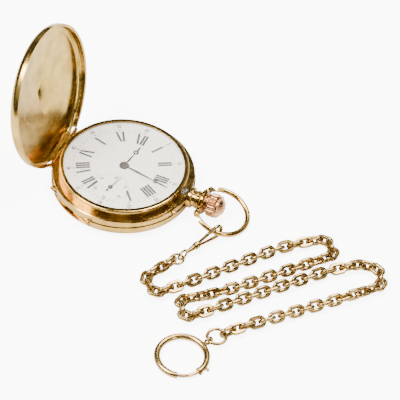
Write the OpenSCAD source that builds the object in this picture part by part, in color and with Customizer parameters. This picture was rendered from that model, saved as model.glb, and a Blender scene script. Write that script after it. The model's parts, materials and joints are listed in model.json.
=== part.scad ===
/* [Case] */
// Outer diameter of the lid and the back cover
case_d = 50; // [48:0.5:60]
// Wall of the pressed lid and back cover
shell_t = 0.5; // [0.4:0.05:0.6]
// Height of the lid's top above its rim
lid_h = 6.5; // [6:0.1:8]
// Radius of the rounded edge of the lid
lid_edge = 2.4; // [2:0.1:3]
// Height of the middle band between the two covers
band_h = 2.6; // [2.4:0.05:3]
// How far the lid stands open
lid_open = 101; // [90:1:110]
// Width of the visible rim of the bezel
bezel_w = 1.6; // [1.4:0.1:2.2]
// Thickness of the watch glass
glass_t = 0.4; // [0.35:0.05:0.5]
/* [Hinges] */
// Length of each cover's hinge barrel
hinge_len = 20.6; // [16:0.2:24]
// Outer radius of the hinge barrels
barrel_r = 0.65; // [0.55:0.05:0.7]
// Diameter of the hinge pins
pin_d = 0.5; // [0.4:0.05:0.6]
/* [Pendant and crown] */
// Diameter of the winding crown
crown_d = 8.4; // [7.4:0.2:8.8]
// Length of the winding crown
crown_l = 6.1; // [5:0.1:8]
// Number of flutes on the crown
crown_flutes = 30; // [20:1:40]
// Length of the pendant from the band to the crown
pendant_l = 7.0; // [6.5:0.1:9]
// Diameter of the bow's wire
bow_wire = 1.8; // [1.5:0.1:2]
// Radius of the bow's centreline
bow_r = 9.4; // [8.6:0.1:11]
/* [Dial and hands] */
// Thickness of the enamelled dial
dial_t = 0.7; // [0.5:0.05:0.8]
// Length of the minute hand from its centre
minute_l = 18; // [15:0.1:18.5]
// Length of the hour hand from its centre
hour_l = 11.2; // [9:0.1:13]
// Length of the seconds hand from its centre
seconds_l = 6; // [4.5:0.1:6.4]
// Radius of the sunk seconds dial
sub_r = 7.1; // [6.5:0.1:7.3]
/* [Movement] */
// Thickness of the toothed wheels
wheel_t = 0.22; // [0.18:0.02:0.24]
// Diameter of the balance over its rim
balance_d = 12.4; // [11:0.1:12.6]
// Number of turns in the hairspring
hairspring_turns = 9; // [6:1:11]
// Number of turns in the mainspring
mainspring_turns = 8; // [5:1:9]
/* [Chain] */
// Wire diameter of the chain links
link_wire = 1.4; // [1.2:0.05:1.44]
// Outer length of a chain link
link_l = 6.4; // [6.4:0.1:6.6]
// Outer width of a chain link
link_w = 4.45; // [4.4:0.05:4.8]
// Outer diameter of the bolt ring
bolt_d = 18.3; // [16:0.1:20]
// Diameter of the bolt ring's tube
bolt_tube = 2.1; // [1.8:0.1:2.4]

/* [Hidden] */
$fn = 72;

// Colours
GOLD = "goldenrod";
ROSE_GOLD = "darkgoldenrod";
BRASS = "khaki";
STEEL = "lightsteelblue";
BLUED = "midnightblue";
ENAMEL = "ivory";
RUBY = "crimson";
GLASS = "lightcyan";

// Fits
fit = 0.02;
gap = 0.1;
over = 1;

// Case: radii and heights, with z = 0 where the back rests
case_r = case_d / 2;
band_r = case_r - 0.3;
bore_r = case_r - 4.6;
bezel_r = case_r - 2.5;
lip_r = bezel_r - bezel_w;
bezel_bore_r = bezel_r - 1;
joint_z = 4.2;
band_z = joint_z + 0.05;
ledge_z = band_z + band_h;
rim_z = ledge_z + 0.05;
lid_top = rim_z + lid_h;
lid_dome_r = 96;
back_dome_r = 360;
back_edge = 1.6;
stem_z = 5.2;

// Hinge lines, as distance from the case's axis and height
lid_hinge_x = case_r - 1.8;
lid_hinge_z = ledge_z + 0.3;
back_hinge_x = case_r - 1.7;
back_hinge_z = joint_z - 0.4;
back_hinge_a = -117;
pin_r = pin_d / 2;
lid_shelf = 1.9;
notch = 1.65;
back_shelf = 1.95;
back_flat = 0.06;

// Dial and glass
dial_top = 8.8;
dial_z = dial_top - dial_t;
dial_r = bezel_bore_r - 0.2;
sub_at = [0, -11.2];
glass_r = bezel_bore_r - 0.1;
glass_z = dial_top + 0.15;
glass_rise = 1.3;
hour_z = dial_top + 0.13;
minute_z = dial_top + 0.33;
seconds_z = dial_top + 0.03;
hand_t = 0.12;
hour_pipe_r = 0.95;
minute_pipe_r = 0.6;
seconds_post_r = 0.2;
hour_angle = 82;
minute_angle = -9.8;
seconds_angle = 75.4;

// Movement levels, from the back towards the dial
cuvette_z = 1.1;
cuvette_t = 0.3;
ratchet_z = cuvette_z + cuvette_t + gap;
ratchet_t = 0.35;
bridge_z = ratchet_z + ratchet_t + 0.05;
train_z = 2.75;
bridge_t = train_z - bridge_z;
plate_z = 4.9;
plate_top = 7.2;
plate_r = bore_r - 0.2;
flange_r = bezel_bore_r - 0.3;
centre_wheel_z = train_z + 0.1;
barrel_z = 3.25;
barrel_h = 1.5;
barrel_teeth_z = 4.35;
third_wheel_z = 3.6;
escape_wheel_z = 3.95;
fourth_wheel_z = 4.35;
balance_z = 3.2;
pivot_r = 0.11;
jewel_r = 0.6;
jewel_t = 0.3;

// Tooth counts and tooth sizes; each wheel's place follows from them
barrel_n = 80;
centre_pinion_n = 10;
centre_n = 80;
third_pinion_n = 10;
third_n = 75;
fourth_pinion_n = 10;
fourth_n = 70;
escape_pinion_n = 7;
escape_n = 15;
barrel_m = 0.22;
centre_m = 0.18;
escape_m = 0.14;
barrel_a = 50;
third_a = -53;
escape_a = 195;
function polar(r, a) = [r * cos(a), r * sin(a)];
function angle_to(p, q) = atan2(q[1] - p[1], q[0] - p[0]);
barrel_at = polar(barrel_m * (barrel_n + centre_pinion_n) / 2, barrel_a);
third_at = polar(centre_m * (centre_n + third_pinion_n) / 2, third_a);
third_m = 2 * norm(sub_at - third_at) / (third_n + fourth_pinion_n);
escape_at = sub_at + polar(escape_m * (fourth_n + escape_pinion_n) / 2, escape_a);
escape_r = 2.6;
pallet_at = escape_at + [-1.78, 2.53];
balance_at = [-9.6, -6.3];
balance_r = balance_d / 2;
lever_l = norm(balance_at - pallet_at);
lever_a = angle_to(pallet_at, balance_at);

// Motion work under the dial
cannon_n = 10;
minute_wheel_n = 30;
minute_pinion_n = 8;
hour_wheel_n = 32;
motion_m = 0.2;
motion_lower_z = plate_top + 0.15;
motion_upper_z = plate_top + 0.5;
minute_wheel_at = polar(motion_m * (cannon_n + minute_wheel_n) / 2, 20);

// Keyless work
crown_wheel_at = [13.2, 0];
ratchet_n = 44;
crown_wheel_n = 32;
winding_m = 2 * norm(crown_wheel_at - barrel_at) / (ratchet_n + crown_wheel_n);
skirt_r = 3.6;
skirt_t = 0.6;
winding_pinion_r = 2.55;
winding_pinion_x = crown_wheel_at[0] + skirt_r - 0.8;
winding_pinion_w = 1.6;
clutch_r = 1.6;
clutch_w = 1.7;
stem_r = 0.6;
stem_square = 0.8;

// Pendant, crown and bow
crown_x = band_r + pendant_l + 0.1;
pendant_r = 4.55;
bow_pivot_x = crown_x - 1.7;
bow_pivot_r = 0.45;
bow_arc = 140;
bow_centre = -bow_r * cos(bow_arc) - 0.13;
bow_reach = bow_centre + bow_r;
bow_droop = asin((stem_z - bow_wire / 2) / bow_reach);
ear_y = pendant_r + 0.15;
ear_l = bow_r * sin(bow_arc) - ear_y;
press_travel = 0.5;

// Setting pin
set_pin_a = -22;
set_pin_r = 0.45;

// Swivel: the hook stands over the bow's wire at this angle round the bow, and runs to the chain
hook_a = -78;
hook_drop = [bow_centre + bow_r * cos(hook_a), bow_r * sin(hook_a)];
bow_wire_at = [bow_pivot_x + hook_drop[0] * cos(bow_droop), hook_drop[1]];
swivel_a = -114;
swivel_fall = 2.7;
hook_wire = 1.3;
hook_r = bow_wire / 2 + hook_wire / 2 + 0.88;
hook_pull = 0.1;
hook_z = hook_r + hook_wire / 2 + 0.05;
arm_x = 8.4;
arm_z = 0.55;
gate_z = -0.75;
collar_w = 1.3;
collar_r = 1.3;
neck_l = 3.88;
neck_x = arm_x + collar_w + fit;
eye_r = 1.85;
eye_wire = 0.9;
eye_x = neck_x + neck_l + eye_r - 0.15;
eye_at = bow_wire_at + polar(eye_x * cos(swivel_fall), swivel_a);
jump_at = eye_at + [-1.1, -2.14];
jump_z = 1.95;
jump_r = 2.2;

// Chain lay: [links, turn at the start of each link, twist of each link], walked from the swivel
chain_start = eye_at + [-1.6, -2.64];
chain_z = link_w / 2;
chain_heading = 244;
ROW_1 = [
    [3, 0, 0], [1, 38, 0], [1, 40, 0], [1, 42, 0], [1, 46, -9], [4, 0.5, -9], [7, 0, 0], [5, -3, 9],
    [1, -36, 0], [1, -46, 0]
];
ROW_2 = [[1, -46, 0], [1, -40, -9], [4, 0, -9], [5, 0, 0], [5, -2, 9], [1, 38, 0], [1, 48, 0]];
ROW_3 = [[1, 52, 0], [1, 52, -9], [4, 0, -9], [8, 0, 0], [5, -2, 9], [1, -30, 0], [1, -34, 0], [1, -36, 0]];
ROW_4 = [[1, -36, 0], [1, -34, 0], [1, -1, -9], [4, -0.5, -9], [5, 0, 0], [3, 0, -9], [2, 3, -9]];
ROWS = [ROW_1, ROW_2, ROW_3, ROW_4];

// A flat link turns about the middle of each rounded end; an upright link reaches between two such places
link_pitch = link_l - 2 * link_wire - 0.08;
flat_step = link_l - link_w;
upright_step = 2 * link_pitch - flat_step;

// Each link as [x, y, heading, roll], one after the other
function expand(rows) = [for (row = rows, s = row, k = [1:s[0]]) [s[1], s[2]]];
function step_of(i) = i % 2 == 0 ? upright_step : flat_step;
function walk(turns, i, at, heading, twist) =
    i >= len(turns) ? [] :
    let (
        h = heading + (i == 0 ? 0 : turns[i][0]),
        w = twist + turns[i][1],
        s = step_of(i),
        roll = (i % 2 == 0 ? -45 : 45) - w
    )
    concat([[at[0] + s / 2 * cos(h), at[1] + s / 2 * sin(h), h, roll]],
        walk(turns, i + 1, at + polar(s, h), h, w));
LINKS = walk(expand(ROWS), 0, chain_start, chain_heading, 45);
function row_links(n) = n < 0 ? 0 : len(expand([for (k = [0:n]) ROWS[k]]));
last_link = LINKS[len(LINKS) - 1];

// End ring and bolt ring
end_ring_r = 3.1;
end_ring_wire = 1.1;
end_ring_z = 2.0;
end_ring_at = [last_link[0], last_link[1]]
    + polar(end_ring_r + link_l / 2 - link_wire - end_ring_wire / 2 - 0.13, last_link[2]);
bolt_r = (bolt_d - bolt_tube) / 2;
bolt_heading = -121.6;
bolt_loop_r = 1.35;
bolt_loop_wire = 1.0;
bolt_loop_at = end_ring_at + polar(end_ring_r + 0.2, bolt_heading);
bolt_at = bolt_loop_at + polar(bolt_r + bolt_tube / 2 + bolt_loop_r - 0.1, bolt_heading);
bolt_z = bolt_tube / 2 + 0.05;
bolt_wire_r = 0.62;
bolt_open_a = -77;
flange_a = -24;
knob_a = -9;
knob_travel = 36;

// ---- Shared shapes ----

// A cover's section: flat wall, round edge and shallow dome, as true arcs
module cover_outline(r, dome, edge, rim, top) {
    centre = top - dome;
    edge_z = centre + sqrt(pow(dome - edge, 2) - pow(r - edge, 2));
    far = [r - edge, edge_z - centre] * (dome + over) / (dome - edge);
    translate([0, rim]) square([r, edge_z - rim]);
    translate([r - edge, edge_z]) circle(edge);
    intersection() {
        translate([0, centre]) circle(dome, $fn = 720);
        polygon([[0, rim], [0, top + over], [far[0], far[1] + centre], [r - edge, edge_z], [r - edge, rim]]);
    }
}

// A cover as a shell of even wall
module cover(r, dome, edge, rim, top, wall) {
    rotate_extrude($fn = 180) intersection() {
        difference() {
            cover_outline(r, dome, edge, rim, top);
            cover_outline(r - wall, dome - wall, edge - wall, rim - over, top - wall);
        }
        translate([0, rim]) square([r + over, top - rim]);
    }
}

// A bar along Y from y to y + length, about the line at x, z
module bar_y(x, z, r, y, length) translate([x, y, z]) rotate([-90, 0, 0]) cylinder(r = r, h = length);

// One of n knuckles of a barrel, about the local line x = 0, z = 0
function knuckle_y(n, i) = -hinge_len / 2 + hinge_len * i / n;
module knuckle(n, i, r, clear = 0) bar_y(0, 0, r, knuckle_y(n, i) - clear, hinge_len / n + 2 * clear);

// The leaf that joins a cover's wall to its knuckles, clear of the fixed knuckles
module cover_leaf(wall_x, shelf, top) {
    inner = 0.45;
    outer = -0.1;
    translate([0, hinge_len / 2, 0]) rotate([90, 0, 0]) linear_extrude(hinge_len)
        polygon([
            [-inner, barrel_r + 0.12], [-outer, barrel_r + 0.12], [-outer, shelf], [wall_x, shelf],
            [wall_x, top], [-inner, top]
        ]);
}

// Puts children on a hinge line that faces outward at angle a; up is +1 on the front, -1 on the back
module on_hinge(a, x, z, up) rotate([0, 0, a]) translate([x, 0, z]) mirror([0, 0, up > 0 ? 0 : 1]) children();

module ring(r, wire) rotate_extrude() translate([r, 0]) circle(wire / 2, $fn = 32);

// A toothed wheel blank in 2D, with one tooth centred at the phase angle
module teeth_2d(n, m, phase) {
    tip = m * (n / 2 + 0.75);
    root = m * (n / 2 - 1.15);
    pitch = 360 / n;
    polygon([
        for (k = [0:n - 1], s = [[-0.3, root], [-0.11, tip], [0.11, tip], [0.3, root]])
            polar(s[1], phase + (k + s[0]) * pitch)
    ]);
}

// A spoked wheel
module spoked_wheel(n, m, phase, spokes, hub_r, bore_r) {
    rim = m * (n / 2 - 1.15) - 0.45;
    linear_extrude(wheel_t) {
        difference() {
            teeth_2d(n, m, phase);
            circle(rim);
        }
        difference() {
            union() {
                circle(hub_r);
                for (k = [1:spokes]) rotate(k * 360 / spokes) translate([0, -0.22]) square([rim + 0.1, 0.44]);
            }
            circle(bore_r);
        }
    }
}

module pinion(n, m, phase, z, h) {
    translate([0, 0, z]) linear_extrude(h) teeth_2d(n, m, phase);
}

// A wheel's arbor with a fine pivot at each end
module arbor(r, from, to, pivot_from, pivot_to) {
    translate([0, 0, from]) cylinder(r = r, h = to - from);
    translate([0, 0, pivot_from]) cylinder(r = pivot_r, h = pivot_to - pivot_from, $fn = 24);
}

// A flat spiral ribbon from one radius to another
module spiral(r0, r1, turns, wide, steps) {
    n = turns * steps;
    function at(k) = r0 + (r1 - r0) * k / n;
    polygon(concat(
        [for (k = [0:n]) polar(at(k) - wide / 2, k * 360 / steps)],
        [for (k = [n:-1:0]) polar(at(k) + wide / 2, k * 360 / steps)]
    ));
}

// The round wall of the watch as its neighbours meet it
module case_envelope() {
    rotate_extrude($fn = 180) polygon([
        [0, -over], [case_r + 0.15, -over], [case_r + 0.15, band_z], [band_r, band_z],
        [band_r, ledge_z - 0.7], [case_r + 0.15, ledge_z - 0.7], [case_r + 0.15, lid_top + over], [0, lid_top + over]
    ]);
}

module stem_bore(r) translate([0, 0, stem_z]) rotate([0, 90, 0]) cylinder(r = r, h = crown_x);

// ---- Case ----

module case_middle() {
    slope = 0.6;
    color(GOLD) difference() {
        union() {
            difference() {
                rotate_extrude($fn = 180) difference() {
                    union() {
                        translate([bore_r, band_z]) square([band_r - bore_r, band_h - slope]);
                        polygon([
                            [bore_r, band_z], [band_r, ledge_z - slope], [band_r - 0.1, ledge_z - 0.3],
                            [band_r - 0.4, ledge_z - 0.08], [bezel_r + 0.1, ledge_z - 0.08],
                            [bezel_r + 0.1, ledge_z], [bore_r, ledge_z]
                        ]);
                        translate([bore_r, joint_z - 0.9]) square([band_r - 0.5 - bore_r, 1]);
                    }
                }
                for (i = [1, 3]) on_hinge(180, lid_hinge_x, lid_hinge_z, 1) knuckle(5, i, barrel_r + 0.07, 0.04);
                on_hinge(back_hinge_a, back_hinge_x, back_hinge_z, -1) {
                    for (i = [1:3]) knuckle(5, i, barrel_r + 0.07, 0.04);
                    translate([0, knuckle_y(5, 1) - 0.04, back_hinge_z - band_z + 0.02])
                        cube([case_r, hinge_len * 3 / 5 + 0.08, 2]);
                }
                for (a = [0, 180]) rotate(a) rotate([0, 0, -34]) translate([0, 0, 4.75])
                    rotate_extrude(angle = 68) translate([bore_r - over, 0]) square([2.4, 1.75]);
            }
            for (i = [0, 2, 4]) on_hinge(180, lid_hinge_x, lid_hinge_z, 1) knuckle(5, i, barrel_r);
            for (i = [0, 4]) on_hinge(back_hinge_a, back_hinge_x, back_hinge_z, -1) knuckle(5, i, barrel_r);
        }
        on_hinge(180, lid_hinge_x, lid_hinge_z, 1) bar_y(0, 0, pin_r, -case_r, case_d);
        on_hinge(back_hinge_a, back_hinge_x, back_hinge_z, -1) bar_y(0, 0, pin_r, -case_r, case_d);
        stem_bore(stem_r + 0.15);
        rotate([0, 0, set_pin_a]) translate([0, 0, stem_z]) rotate([0, 90, 0])
            cylinder(r = set_pin_r + 0.03, h = case_r + over);
        translate([bore_r - over, -1.35, 6.1]) cube([bezel_r - bore_r + 2.6, 2.7, 2]);
    }
}

// A cover with its hinge leaf and knuckles, in its closed place
module closed_lid() {
    difference() {
        union() {
            difference() {
                union() {
                    cover(case_r, lid_dome_r, lid_edge, rim_z, lid_top, shell_t);
                    rotate_extrude($fn = 180) translate([case_r - shell_t - 0.5, rim_z + 0.03])
                        square([shell_t + 0.3, 0.42]);
                }
                translate([-case_r - over, -hinge_len / 2 - 0.1, rim_z - over])
                    cube([
                        case_r - lid_hinge_x + notch + over, hinge_len + 0.2,
                        lid_hinge_z + lid_shelf + 0.05 - rim_z + over
                    ]);
            }
            intersection() {
                on_hinge(180, lid_hinge_x, lid_hinge_z, 1)
                    cover_leaf(case_r - lid_hinge_x, lid_shelf, lid_shelf + 0.55);
                cylinder(r = case_r - 0.7, h = lid_top);
            }
            for (i = [1, 3]) on_hinge(180, lid_hinge_x, lid_hinge_z, 1) {
                knuckle(5, i, barrel_r, -0.04);
                translate([-0.45, knuckle_y(5, i) + 0.04, 0]) cube([0.55, hinge_len / 5 - 0.08, 1.2]);
            }
        }
        on_hinge(180, lid_hinge_x, lid_hinge_z, 1) bar_y(0, 0, pin_r + fit, -case_r, case_d);
    }
}

module lid() {
    color(GOLD) translate([-lid_hinge_x, 0, lid_hinge_z]) rotate([0, -lid_open, 0])
        translate([lid_hinge_x, 0, -lid_hinge_z]) closed_lid();
}

module lid_hinge_pin() {
    color(GOLD) on_hinge(180, lid_hinge_x, lid_hinge_z, 1) bar_y(0, 0, pin_r, -hinge_len / 2, hinge_len);
}

module back_cover() {
    color(GOLD) difference() {
        union() {
            difference() {
                translate([0, 0, joint_z - 0.05]) mirror([0, 0, 1])
                    cover(case_r, back_dome_r, back_edge, 0, joint_z - 0.05 + back_flat, shell_t);
                translate([-case_r, -case_r, -over]) cube([case_d, case_d, over]);
                rotate([0, 0, back_hinge_a])
                    translate([back_hinge_x - notch, -hinge_len / 2 - 0.1, back_hinge_z - back_shelf - 0.05])
                    cube([case_r, hinge_len + 0.2, 5]);
            }
            intersection() {
                on_hinge(back_hinge_a, back_hinge_x, back_hinge_z, -1)
                    cover_leaf(case_r - back_hinge_x, back_shelf, back_shelf + 0.45);
                difference() {
                    cylinder(r = case_r - 0.45, h = joint_z);
                    rotate([0, 0, back_hinge_a]) translate([0, -hinge_len / 10, 0])
                        cube([back_hinge_x + 0.11, hinge_len / 5, back_hinge_z]);
                }
            }
            for (i = [1, 3]) on_hinge(back_hinge_a, back_hinge_x, back_hinge_z, -1) {
                knuckle(5, i, barrel_r, -0.04);
                translate([-0.45, knuckle_y(5, i) + 0.04, 0]) cube([0.55, hinge_len / 5 - 0.08, 1.2]);
            }
        }
        on_hinge(back_hinge_a, back_hinge_x, back_hinge_z, -1) bar_y(0, 0, pin_r + fit, -case_r, case_d);
    }
}

module back_hinge_pin() {
    color(GOLD) on_hinge(back_hinge_a, back_hinge_x, back_hinge_z, -1)
        bar_y(0, 0, pin_r, -hinge_len / 2 - 0.6, hinge_len + 1.2);
}

module cuvette() {
    rim = 3.2;
    r = bore_r + 2.2;
    color(GOLD) difference() {
        union() {
            translate([0, 0, rim]) mirror([0, 0, 1])
                cover(r, 1500, 1.8, 0, rim - cuvette_z, cuvette_t);
            on_hinge(back_hinge_a, back_hinge_x, back_hinge_z, -1) {
                knuckle(5, 2, barrel_r, -0.04);
                translate([-back_hinge_x + r - 0.15, knuckle_y(5, 2) + 0.1, back_hinge_z - rim])
                    cube([back_hinge_x - r + 0.15, hinge_len / 5 - 0.2, 0.5]);
            }
        }
        on_hinge(back_hinge_a, back_hinge_x, back_hinge_z, -1) bar_y(0, 0, pin_r + fit, -case_r, case_d);
    }
}

module bezel() {
    crest = 0.62;
    lip_gap = 0.1;
    color(GOLD) rotate_extrude($fn = 180) difference() {
        union() {
            translate([bezel_bore_r, ledge_z]) square([bezel_r - bezel_bore_r, glass_z - ledge_z]);
            translate([bezel_r - crest, glass_z]) circle(crest);
            translate([lip_r, glass_z + glass_t + lip_gap]) square([bezel_w - crest, 0.2]);
            translate([lip_r + 0.1, glass_z + glass_t + lip_gap + 0.1]) circle(0.1);
        }
        translate([0, glass_z - over]) square([bezel_bore_r, glass_t + lip_gap + over]);
    }
}

module crystal() {
    r = (glass_r * glass_r + glass_rise * glass_rise) / (2 * glass_rise);
    color(GLASS) rotate_extrude($fn = 180) intersection() {
        difference() {
            translate([0, glass_z + glass_rise - r + glass_t]) circle(r, $fn = 720);
            translate([0, glass_z + glass_rise - r]) circle(r, $fn = 720);
        }
        translate([0, glass_z]) square([glass_r, glass_rise + glass_t]);
    }
}

module lid_spring() {
    color(STEEL) translate([0, 0, 4.95]) rotate([0, 0, 150]) rotate_extrude(angle = 60)
        translate([bore_r + 0.35, 0]) square([0.7, 1.4]);
}

module lock_spring() {
    catch_z = 6.15;
    inner = bore_r + 0.75;
    nose = bezel_r + 0.55;
    color(STEEL) {
        translate([0, 0, 4.95]) rotate([0, 0, 6]) rotate_extrude(angle = 24)
            translate([bore_r + 0.55, 0]) square([0.7, 1.3]);
        translate([0, 0, catch_z - 0.1]) rotate([0, 0, -2.5]) rotate_extrude(angle = 10.5)
            translate([bore_r + 0.6, 0]) square([0.6, 0.4]);
        translate([0, 1.1, 0]) rotate([90, 0, 0]) linear_extrude(2.2) polygon([
            [inner, catch_z], [nose + 0.85, catch_z], [nose + 0.85, catch_z + 1.5], [nose, catch_z + 1.5],
            [nose, catch_z + 0.45], [inner, catch_z + 0.45]
        ]);
    }
}

// ---- Pendant, crown, bow, setting pin ----

module pendant() {
    x0 = band_r - 0.6;
    color(GOLD) difference() {
        translate([0, 0, stem_z]) rotate([0, 90, 0]) rotate_extrude() union() {
            translate([0, x0]) square([3.7, 1.9]);
            translate([3.7 - 0.4, x0 + 1.9]) circle(0.4);
            translate([0, x0 + 1.8]) square([3.3, 0.5]);
            translate([0, x0]) square([2.9, crown_x - x0 - 1]);
            translate([2.85, crown_x - 3.9]) circle(0.42);
            polygon([[0, crown_x - 3.2], [2.9, crown_x - 3.2], [3.6, crown_x - 2.8], [0, crown_x - 2.8]]);
            polygon([
                [0, crown_x - 2.8], [3.6, crown_x - 2.8], [pendant_r - 0.2, crown_x - 2.3],
                [pendant_r, crown_x - 2.0], [pendant_r, crown_x - 1.4], [pendant_r - 0.5, crown_x - 0.85],
                [pendant_r - 0.9, crown_x - press_travel - 0.1], [0, crown_x - press_travel - 0.1]
            ]);
        }
        case_envelope();
        stem_bore(stem_r + 0.5);
        translate([crown_x - 2.6, 0, stem_z]) rotate([0, 90, 0]) cylinder(r = 2.6, h = 3);
        for (s = [-1, 1]) translate([bow_pivot_x, s * (pendant_r + over), stem_z]) rotate([s * 90, 0, 0])
            cylinder(r = bow_pivot_r, h = over + 1.2);
        for (s = [-1, 1]) translate([bow_pivot_x, s * (pendant_r + over), stem_z]) rotate([s * 90, 0, 0])
            cylinder(r = 1.05, h = over + 0.08);
    }
}

module stem_sleeve() {
    color(STEEL) translate([band_r + 1.2, 0, stem_z]) rotate([0, 90, 0]) difference() {
        cylinder(r = stem_r + 0.5 - fit, h = 3);
        translate([0, 0, -over]) cylinder(r = stem_r + fit, h = 3 + 2 * over);
    }
}

// The crown's fluted section
module flutes_2d(r, depth, n) {
    steps = 6;
    polygon([
        for (k = [0:n * steps - 1])
            polar(r - depth + depth * pow(abs(sin(180 * k / steps)), 0.8), k * 360 / (n * steps))
    ]);
}

module crown() {
    r = crown_d / 2;
    band = crown_l * 0.55;
    color(ROSE_GOLD) translate([crown_x, 0, stem_z]) rotate([0, 90, 0]) difference() {
        union() {
            intersection() {
                translate([0, 0, 0.35]) linear_extrude(band) flutes_2d(r, 0.5, crown_flutes);
                rotate_extrude() polygon([
                    [0, 0.35], [r - 0.5, 0.35], [r, 0.95], [r, band - 0.25], [r - 0.5, band + 0.35], [0, band + 0.35]
                ]);
            }
            rotate_extrude() polygon([[0, 0], [r - 0.75, 0], [r - 0.55, 0.2], [r - 0.55, 0.5], [0, 0.5]]);
            rotate_extrude() polygon([
                [0, band], [r - 0.6, band], [r - 0.6, band + 0.45], [r - 0.25, band + 0.6],
                [r - 0.25, band + 0.85], [r - 0.7, band + 1.15], [r - 1.9, crown_l - 0.55],
                [r - 2.4, crown_l - 0.2], [r - 3.2, crown_l - 0.02], [0, crown_l]
            ]);
            translate([0, 0, -1.4]) cylinder(r = 2.3, h = 1.6);
        }
        translate([0, 0, -2]) cylinder(r = stem_r - 0.1, h = 5);
        translate([0, 0, -2]) cylinder(r = 1.5, h = 1.8);
    }
}

module winding_stem() {
    square_x = winding_pinion_x - clutch_w - 0.3;
    round_x = winding_pinion_x + press_travel + 0.05;
    color(STEEL) translate([0, 0, stem_z]) rotate([0, 90, 0]) {
        translate([0, 0, square_x - 1.6]) cylinder(r = 0.35, h = 1.6);
        translate([-stem_square / 2, -stem_square / 2, square_x]) cube([stem_square, stem_square, round_x - square_x]);
        translate([0, 0, round_x]) cylinder(r = stem_r, h = crown_x - round_x - 1.5);
        translate([0, 0, crown_x - 1.5]) cylinder(r = stem_r - 0.1, h = 4.5);
    }
}

// Puts children in the bow's own frame: pivot line at the origin, drooping to the table
module on_bow() translate([bow_pivot_x, 0, stem_z]) rotate([0, bow_droop, 0]) children();

module bow() {
    wire = bow_wire / 2;
    color(GOLD) on_bow() difference() {
        union() {
            translate([bow_centre, 0, 0]) rotate([0, 0, -bow_arc]) rotate_extrude(angle = 2 * bow_arc, $fn = 96)
                translate([bow_r, 0]) circle(wire, $fn = 40);
            for (s = [-1, 1]) translate([-0.13, s * ear_y, 0]) rotate([-s * 90, 0, 0])
                cylinder(r = wire + 0.05, h = ear_l + 0.3);
        }
        for (s = [-1, 1]) translate([0, s * (ear_y - over), 0]) rotate([-s * 90, 0, 0])
            cylinder(r = bow_pivot_r + fit, h = ear_l + 3);
        for (s = [-1, 1]) translate([-2, s * (ear_y + ear_l + 2.3) - 1.5, -2]) cube([4, 3, 4]);
    }
}

module bow_screws() {
    head_y = ear_y + ear_l + 0.85;
    color(GOLD) for (s = [-1, 1]) translate([bow_pivot_x, 0, stem_z]) rotate([-s * 90, 0, 0]) {
        translate([0, 0, pendant_r - 0.2]) cylinder(r = bow_pivot_r, h = head_y - pendant_r + 0.2);
        translate([0, 0, head_y]) difference() {
            cylinder(r = 0.7, h = 0.25);
            translate([-1, -0.09, 0.13]) cube([2, 0.18, 1]);
        }
    }
}

module setting_pin() {
    color(GOLD) rotate([0, 0, set_pin_a]) translate([0, 0, stem_z]) rotate([0, 90, 0]) {
        translate([0, 0, bore_r + 0.8]) cylinder(r = set_pin_r, h = case_r + 0.55 - bore_r - 0.8);
        translate([0, 0, case_r + 0.5]) sphere(set_pin_r);
    }
}

module setting_pin_guard() {
    color(GOLD) difference() {
        rotate([0, 0, set_pin_a]) translate([0, 0, stem_z]) rotate([0, 90, 0]) difference() {
            translate([0, 0, band_r - 0.3]) cylinder(r1 = 0.9, r2 = 0.75, h = 0.95);
            cylinder(r = set_pin_r + 0.03, h = case_d);
        }
        cylinder(r = band_r, h = lid_top, $fn = 180);
    }
}

// ---- Dial and hands ----

module dial() {
    color(ENAMEL) translate([0, 0, dial_z]) difference() {
        cylinder(r = dial_r, h = dial_t, $fn = 180);
        translate([0, 0, -over]) cylinder(r = 1.55, h = dial_t + 2 * over);
        translate([sub_at[0], sub_at[1], -over]) cylinder(r = sub_r, h = dial_t + 2 * over, $fn = 120);
    }
}

module sub_dial() {
    color(ENAMEL) translate([sub_at[0], sub_at[1], dial_z]) difference() {
        cylinder(r = sub_r - fit, h = dial_t - 0.15, $fn = 120);
        translate([0, 0, -over]) cylinder(r = 0.35, h = dial_t + 2 * over);
    }
}

// A slender leaf-shaped hand in 2D, lying along +X
module hand_2d(root, length, half_w) {
    polygon([
        [root, -half_w * 0.55], [root + length * 0.35, -half_w], [root + length * 0.75, -half_w * 0.5],
        [root + length, -0.04], [root + length, 0.04], [root + length * 0.75, half_w * 0.5],
        [root + length * 0.35, half_w], [root, half_w * 0.55]
    ]);
}

module hour_hand() {
    disc_x = hour_l * 0.68;
    color(BLUED) translate([0, 0, hour_z]) rotate([0, 0, hour_angle]) linear_extrude(hand_t) difference() {
        union() {
            circle(1.7);
            translate([1.2, 0]) hand_2d(0, disc_x - 1.2, 0.3);
            translate([disc_x, 0]) circle(0.95);
            translate([disc_x + 0.7, 0]) hand_2d(0, hour_l - disc_x - 0.7, 0.3);
        }
        circle(hour_pipe_r);
        translate([disc_x, 0]) circle(0.45);
    }
}

module minute_hand() {
    disc_x = minute_l * 0.72;
    color(BLUED) translate([0, 0, minute_z]) rotate([0, 0, minute_angle]) linear_extrude(hand_t) difference() {
        union() {
            circle(1.45);
            translate([1, 0]) hand_2d(0, disc_x - 1.1, 0.34);
            translate([disc_x, 0]) circle(0.75);
            translate([disc_x + 0.6, 0]) hand_2d(0, minute_l - disc_x - 0.6, 0.28);
        }
        circle(minute_pipe_r);
        translate([disc_x, 0]) circle(0.35);
    }
}

module seconds_hand() {
    tail_x = -1.9;
    color(BLUED) translate([sub_at[0], sub_at[1], seconds_z]) rotate([0, 0, seconds_angle])
        linear_extrude(hand_t) difference() {
            union() {
                circle(0.85);
                translate([0.6, 0]) hand_2d(0, seconds_l - 0.6, 0.14);
                translate([tail_x, -0.1]) square([-tail_x, 0.2]);
                translate([tail_x, 0]) circle(0.42);
            }
            circle(seconds_post_r);
        }
}

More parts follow.
